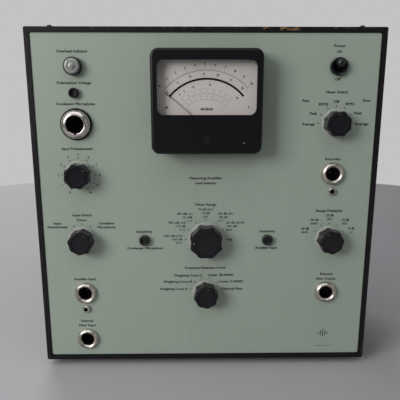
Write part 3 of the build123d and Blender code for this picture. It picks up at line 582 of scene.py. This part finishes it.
# ---- panel legends -------------------------------------------------------------------------------
CAP = 2.9                                   # height of the capitals
SMALL_CAP = 2.4
LINE_PITCH = 4.2                            # from one line of a label down to the next
LEGENDS = [                                 # words, left end, right end, middle line
    ("Overload Indicator", -157.0, -124.5, 165.6), ("Polarization Voltage", -158.7, -122.5, 133.4),
    ("Condenser Microphone", -161.0, -119.4, 111.5), ("Input Potentiometer", -157.5, -123.7, 63.4),
    ("Input Switch", -150.0, -129.0, -11.4), ("Direct", -145.6, -134.8, -17.1),
    ("Input", -171.8, -163.6, -20.9), ("Potentiometer", -179.0, -156.5, -25.2),
    ("Condenser", -121.0, -103.6, -20.9), ("Microphone", -123.0, -103.0, -25.4),
    ("Amplifier Input", -153.0, -128.0, -87.9), ("External", -147.0, -133.6, -140.3),
    ("Filter Input", -150.0, -130.6, -146.0),
    ("Measuring Amplifier", -18.5, 18.0, 30.6), ("Level Indicator", -12.0, 11.6, 25.0),
    ("Meter Range", -11.75, 11.25, 0.5),
    ("Sensitivity", -79.0, -61.0, -30.9), ("Condenser Microphone", -90.0, -49.4, -50.6),
    ("Sensitivity", 61.0, 79.0, -30.9), ("Amplifier Input", 56.5, 81.6, -50.6),
    ("Frequency Response Switch", -24.0, 23.0, -74.5),
    ("Weighting Curve C", -37.0, -4.4, -84.0), ("Weighting Curve B", -49.6, -16.3, -91.6),
    ("Weighting Curve A", -54.0, -21.3, -100.6), ("Linear 20-40000", 2.75, 32.0, -83.5),
    ("Linear 2-40000", 15.6, 43.0, -91.5), ("External Filter", 19.8, 43.0, -100.6),
    ("Power", 134.6, 146.4, 171.3), ("On", 138.0, 143.0, 165.6), ("Off", 137.6, 143.2, 137.3),
    ("Meter Switch", 128.8, 151.9, 123.8), ("Fast", 103.5, 111.0, 114.8),
    ("Slow", 168.8, 177.0, 115.0), ("RMS", 121.6, 131.4, 111.0), ("Off", 137.5, 143.4, 113.8),
    ("RMS", 150.6, 159.8, 111.3), ("Peak", 112.0, 120.0, 101.3), ("Peak", 160.4, 168.6, 101.6),
    ("Average", 104.0, 118.0, 89.8), ("Average", 161.6, 176.6, 90.0),
    ("Recorder", 132.0, 149.0, 51.6), ("Range Multiplier", 125.0, 155.0, -7.1),
    ("External", 133.4, 147.6, -82.8), ("Filter Output", 129.0, 151.6, -88.8),
]
DIAL_DOTS = {                               # first angle, last angle, step, radius of the dots
    "input_potentiometer": (-150, 150, 30, 18.4), "input_switch": (-30, 30, 30, 18.4),
    "meter_switch": (-90, 90, 30, 18.5), "range_multiplier": (-60, 60, 30, 18.5),
    "frequency_switch": (-75, 75, 30, 18.4), "meter_range": (-90, 90, 30, 23.0),
}
RANGE_LABELS = [                # three lines for each place of the large knob: middle, top, width
    (("100 dB x10", "+20 dB", "10 V"), -37.5, -36.2, 21.0),
    (("90 dB x3", "+10 dB", "3 V"), -33.0, -20.6, 19.0),
    (("80 dB x1", "0 dB", "1 V"), -24.0, -10.2, 17.0),
    (("70 dB x0.3", "-10 dB", "0.3 V"), -0.6, -5.25, 16.0),
    (("60 dB x0.1", "-20 dB", "0.1 V"), 22.5, -10.1, 17.0),
    (("50 dB x0.03", "-30 dB", "30 mV"), 33.0, -20.7, 20.0),
]
LINE_PARTS = (1.0, 0.6, 0.33)               # how long each of the three lines is, as a part of the first
PANEL_DOT_R = 0.7
NUMBERS_R = 22.6                            # radius of the input potentiometer's numbers
MULTIPLIERS = [                             # attenuation, factor, middle of the label
    ("-40 dB", "x0.01", 112.6, -28.0), ("-30 dB", "x0.03", 122.8, -17.8),
    ("-20 dB", "x0.1", 140.2, -12.5), ("-10 dB", "x0.3", 158.0, -17.8), ("0 dB", "x1", 166.0, -28.0),
]


def legends():
    bm = bmesh.new()
    for words, x0, x1, z in LEGENDS:
        add_text(bm, words, (x0 + x1) / 2, z, CAP, 0.0, width=x1 - x0)
    for name, (first, last, step, radius) in DIAL_DOTS.items():
        cx, cz = centre_of(f"{name}_skirt")
        for i, angle in enumerate(range(first, last + 1, step)):
            dot(bm, *around(cx, cz, radius, angle), PANEL_DOT_R, 0.0)
            if name == "input_potentiometer":
                add_text(bm, str(i), *around(cx, cz, NUMBERS_R, angle), SMALL_CAP, 0.0)
    for lines, x, z, width in RANGE_LABELS:
        for i, (words, part) in enumerate(zip(lines, LINE_PARTS)):
            inward = 0.0 if abs(x) < 5 else math.copysign(width * (1 - part) / 2, x)
            add_text(bm, words, x - inward, z - LINE_PITCH * i, SMALL_CAP, 0.0, width=width * part)
    add_text(bm, "Ref.", 28.0, -40.6, 2.5, 0.0)
    for decibels, factor, x, z in MULTIPLIERS:
        add_text(bm, decibels, x, z, 2.7, 0.0)
        add_text(bm, factor, x, z - LINE_PITCH, 2.7, 0.0)
    emblem(bm, RIGHT_X, -158.0)
    piece("panel_legends", bm, ink("legend_ink", (0.003, 0.004, 0.0035)))


def emblem(bm, x, z):
    """A plain level mark: five rising and falling strokes over a line."""
    for i, tall in enumerate((3.0, 6.5, 10.0, 6.5, 3.0)):
        place = x + (i - 2) * 2.6
        bar(bm, place, z - tall / 2, place, z + tall / 2, 0.9, 0.0)
    bar(bm, x - 9.5, z - 16.6, x + 9.5, z - 16.6, 0.35, 0.0)


def back_legends():
    """Small words beside the inlet and the fuse: set out as on the panel, then turned to the back."""
    bm = bmesh.new()
    inlet_lo, inlet_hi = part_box("inlet_and_fuse_holder")
    fuse_x, fuse_z = centre_of("fuse_cap")
    inlet_x = inlet_lo.x / MM + 22.0
    top = (inlet_hi.z - PANEL_Z) / MM + 5.0
    add_text(bm, "Mains", -inlet_x, top, 3.0, 0.0)
    add_text(bm, "Fuse", -fuse_x, fuse_z + 13.5, 3.0, 0.0)
    cover_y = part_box("back_cover")[1].y
    for v in bm.verts:
        v.co = Vector((-v.co.x, cover_y + PANEL_Y - v.co.y, v.co.z))
    piece("back_legends", bm, ink("back_ink", (0.42, 0.41, 0.38)))


legends()
back_legends()

# ---- meter dial ----------------------------------------------------------------------------------
DIAL_H = height_of("meter_dial")
VOLTS_0, VOLTS_STEP = -48.5, 9.4            # angle of 0 on the outer scale and of each whole number
THIRTY_0, THIRTY_STEP = -48.0, 3.0          # the same for the scale of 0 to 30 above the band
VOLTS_R, BLACK_R0, BLACK_R1 = 59.0, 49.4, 51.5      # radii of the outer line and the black band
INNER_R = (40.6, 35.4, 30.2)                # radii of the pale lines


def dial():
    """The main scales: a line with ticks and numbers, and the black band with its own on each side."""
    bm = bmesh.new()
    h = DIAL_H
    arc_band(bm, *PIVOT, BLACK_R0, BLACK_R1, -50.5, 49.5, h, 80)
    arc_band(bm, *PIVOT, VOLTS_R - 0.2, VOLTS_R + 0.1, -46.5, 46.5, h, 60)
    for i in range(51):
        angle = VOLTS_0 + VOLTS_STEP * i / 5
        long = 3.4 if i % 5 == 0 else 1.9
        if abs(angle) < 47:
            tick(bm, VOLTS_R, long, angle, 0.22, h)
    for i in range(11):
        angle = VOLTS_0 + VOLTS_STEP * i
        add_text(bm, str(i), *around(*PIVOT, VOLTS_R + 6.3, angle), 2.6, h, turn=angle)
    for i in range(31):
        tick(bm, BLACK_R1 + 0.5, 1.6 if i % 5 == 0 else 0.9, THIRTY_0 + THIRTY_STEP * i, 0.2, h)
    for i in range(0, 31, 5):
        angle = THIRTY_0 + THIRTY_STEP * i
        add_text(bm, str(i), *around(*PIVOT, BLACK_R1 + 3.9, angle), 2.2, h, turn=angle)
    for decibels in range(23):
        volts = 10 ** (decibels / 20)
        angle = VOLTS_0 + VOLTS_STEP * volts
        long = 1.8 if decibels % 5 == 0 else 1.0
        if volts <= 10.6:
            tick(bm, BLACK_R0 - 0.4, -long, angle, 0.2, h)
            if decibels % 5 == 0:
                add_text(bm, str(decibels), *around(*PIVOT, BLACK_R0 - 4.8, angle), 2.1, h, turn=angle)
    add_text(bm, "dB", -42.0, 108.0, 2.4, h)
    add_text(bm, "V", 44.0, 108.0, 2.4, h)
    add_text(bm, "decibels", 0.0, 106.5, 3.0, h)
    piece("dial_print", bm, ink("dial_ink", (0.008, 0.007, 0.008)))


def meter_fleck():
    """A painted highlight: a pale fleck in the lower right of the meter's front, standing in for a
    glint.
    """
    lo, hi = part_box("meter_case")
    x, z = hi.x / MM - 19.0, (lo.z - PANEL_Z) / MM + 11.5
    bm = bmesh.new()
    outline = [(-1.0, -0.5), (0.1, -0.75), (1.1, -0.4), (0.7, 0.3), (-0.1, 0.8), (-0.6, 0.2)]
    front = height_of("meter_case")
    slab(bm, [(x + a, z + b) for a, b in outline], front, front + 0.02)
    # painted highlight: pale grey on the black case, in place of a glint
    piece("meter_fleck", bm, ink("painted_glint_grey", (0.22, 0.21, 0.20)))


def inner_scales():
    """The paler scales near the middle of the dial."""
    bm = bmesh.new()
    h = DIAL_H
    _, upper, lower = INNER_R
    for radius in INNER_R:
        arc_band(bm, *PIVOT, radius, radius + 0.14, -43, 43, h, 48)
    for i in range(59):
        angle = -43.5 + 1.5 * i
        long = 1.8 if i % 5 == 0 else 1.0
        tick(bm, upper, long, angle, 0.13, h)
        tick(bm, lower, -long * 0.8, angle, 0.13, h)
    for i in range(9):
        angle = -40 + 10 * i
        add_text(bm, str(i + 1), *around(*PIVOT, upper + 3.2, angle), 1.5, h, turn=angle)
        add_text(bm, str(8 - abs(i - 4) * 2), *around(*PIVOT, lower + 2.7, angle), 1.3, h, turn=angle)
    piece("dial_inner_print", bm, ink("dial_ink_pale", (0.16, 0.13, 0.125)))


dial()
inner_scales()
meter_fleck()


# ---- handle --------------------------------------------------------------------------------------
def bridged(bm, rings):
    """Joins closed rings of points into a tube with flat ends."""
    count = len(rings[0])
    for a, b in zip(rings, rings[1:]):
        for j in range(count):
            k = (j + 1) % count
            bm.faces.new((a[j], a[k], b[k], b[j]))
    bm.faces.new(rings[0])
    bm.faces.new(list(reversed(rings[-1])))


def carrying_strap():
    """The leather strap: padded, with rounded edges and a row of stitches along each side."""
    lo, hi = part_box("handle_strap")
    half_x, mid_y, half_y = hi.x / MM, (lo.y + hi.y) / 2 / MM, (hi.y - lo.y) / 2 / MM
    low, high = lo.z / MM, hi.z / MM
    thick, rise = 2.7, high - low - 3.0
    lifted_from, lifting = 61.0, 27.0       # where the strap leaves the case, and over what length
    stitches_at = 0.8                       # how far out the stitching runs, as a part of half the width

    def height(x):
        along = min(1.0, max(0.0, (lifted_from - abs(x)) / lifting))
        return low + 0.1 + rise * along * along * (3 - 2 * along) - 0.12 * math.exp(-(x / 9) ** 2)

    def upper(y):
        groove = 0.22 * math.exp(-((abs(y) - stitches_at) / 0.05) ** 2)
        return thick - 0.75 * abs(y) ** 6 - groove

    def lower(y):
        return 0.55 * abs(y) ** 6

    across = [-1 + 2 * i / 12 for i in range(13)]
    half_width = half_y * 0.985
    section = [(y * half_width, upper(y)) for y in across]
    section += [(y * half_width, lower(y)) for y in reversed(across)]
    bm = bmesh.new()
    rings = []
    steps = 110
    for i in range(steps + 1):
        x = -half_x + 2 * half_x * i / steps
        rings.append([bm.verts.new(Vector((x, mid_y + y, height(x) + z)) * MM) for y, z in section])
    bridged(bm, rings)
    strap = piece("leather_strap", bm, MATERIALS["strap"], smooth=True)
    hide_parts("handle_strap")

    bm = bmesh.new()
    pitch, half_long = 4.3, 1.5             # of the stitches
    for side in (-stitches_at, stitches_at):
        for i in range(-13, 14):
            x = i * pitch
            stitch(bm, x - half_long, x + half_long, mid_y + side * half_y, height, thick - 0.25)
    piece("strap_stitching", bm, ink("waxed_thread", (0.10, 0.085, 0.065)), smooth=True)


def stitch(bm, x0, x1, y, height, over, sides=6, steps=5):
    """One stitch of thread lying on the strap, its ends sunk into the leather."""
    rings = []
    for i in range(steps + 1):
        x = x0 + (x1 - x0) * i / steps
        z = height(x) + over + 0.22 * math.sin(math.pi * i / steps)
        ring = []
        for j in range(sides):
            turn = 2 * math.pi * j / sides
            point = Vector((x, y + 0.28 * math.cos(turn), z + 0.2 * math.sin(turn)))
            ring.append(bm.verts.new(point * MM))
        rings.append(ring)
    bridged(bm, rings)


carrying_strap()

# ---- marks on the knobs --------------------------------------------------------------------------
KNOB_ANGLES = {"input_potentiometer": 50, "input_switch": 30, "meter_switch": 0,
               "range_multiplier": -30, "frequency_switch": 15, "meter_range": -90}


def knob_marks():
    """A pale dot on each knob's face and a black line on its clear disc, both of which turn with it."""
    white = ink("index_white", (0.30, 0.29, 0.26))
    black = MATERIALS["pointer_aluminium"]
    for name, angle in KNOB_ANGLES.items():
        cx, cz = centre_of(f"{name}_skirt")
        lo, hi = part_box(f"{name}_skirt")
        skirt_r = (hi.x - lo.x) / 2 / MM
        lobe_r = skirt_r - 1.2
        dot_r = 0.7 if name == "meter_range" else 0.4
        bm = bmesh.new()
        dot(bm, *around(cx, cz, lobe_r * 0.71, angle), dot_r, height_of(f"{name}_knob"))
        piece(f"{name}_index_dot", bm, white, f"{name}_control")
        bm = bmesh.new()
        start, end = around(cx, cz, lobe_r * 0.9, angle), around(cx, cz, skirt_r - 0.8, angle)
        bar(bm, *start, *end, 0.5, height_of(f"{name}_skirt"))
        piece(f"{name}_index_line", bm, black, f"{name}_control")


knob_marks()


# ---- floor and light -----------------------------------------------------------------------------
def studio():
    """A pale floor, a soft light from the upper left, and weaker ones from above, right and behind."""
    disc = bmesh.new()
    bmesh.ops.create_circle(disc, cap_ends=True, radius=1.3, segments=96)
    mesh = bpy.data.meshes.new("floor")
    disc.to_mesh(mesh)
    disc.free()
    floor = bpy.data.objects.new("floor", mesh)
    scene.collection.objects.link(floor)
    p = Paint("floor_pale", (0.37, 0.37, 0.38), 0.75)
    p.blend_colour(p.ramp(p.noise(3, 3), (0.3, 0.0), (0.8, 0.3)), (0.33, 0.33, 0.335))
    mesh.materials.append(p.material)

    def area(name, place, target, size, power, colour=(1, 1, 1)):
        data = bpy.data.lights.new(name, "AREA")
        data.shape = "RECTANGLE"
        data.size, data.size_y = size
        data.energy = power
        data.color = colour
        light = bpy.data.objects.new(name, data)
        scene.collection.objects.link(light)
        light.location = place
        aim = target - light.location
        light.rotation_euler = aim.to_track_quat("-Z", "Y").to_euler()

    middle = at(0, 0)
    area("window_light", at(-1800, 850, 1560), middle, (1.15, 1.15), 48, (1.0, 0.985, 0.965))
    area("sky_light", at(-300, 1500, 500), middle, (2.4, 1.4), 15, (0.94, 0.97, 1.0))
    area("side_fill", at(1900, 400, 700), middle, (2.0, 2.0), 4.5, (0.97, 0.98, 1.0))
    area("back_light", middle + Vector((-0.9, 2.3, 1.3)), middle, (1.8, 1.8), 40)
    scene.world = room()
    scene.view_settings.view_transform = "Standard"


def room():
    """A dim grey room; where nothing stands in front of it, a pale wall."""
    world = bpy.data.worlds.new("room")
    world.use_nodes = True
    tree = world.node_tree
    dim = tree.nodes["Background"]
    dim.inputs["Color"].default_value = (0.80, 0.82, 0.85, 1)
    dim.inputs["Strength"].default_value = 0.085
    pale = tree.nodes.new("ShaderNodeBackground")
    pale.inputs["Color"].default_value = (0.55, 0.545, 0.55, 1)
    mix = tree.nodes.new("ShaderNodeMixShader")
    path = tree.nodes.new("ShaderNodeLightPath")
    tree.links.new(path.outputs["Is Camera Ray"], mix.inputs["Fac"])
    tree.links.new(dim.outputs["Background"], mix.inputs[1])
    tree.links.new(pale.outputs["Background"], mix.inputs[2])
    tree.links.new(mix.outputs["Shader"], tree.nodes["World Output"].inputs["Surface"])
    return world


studio()
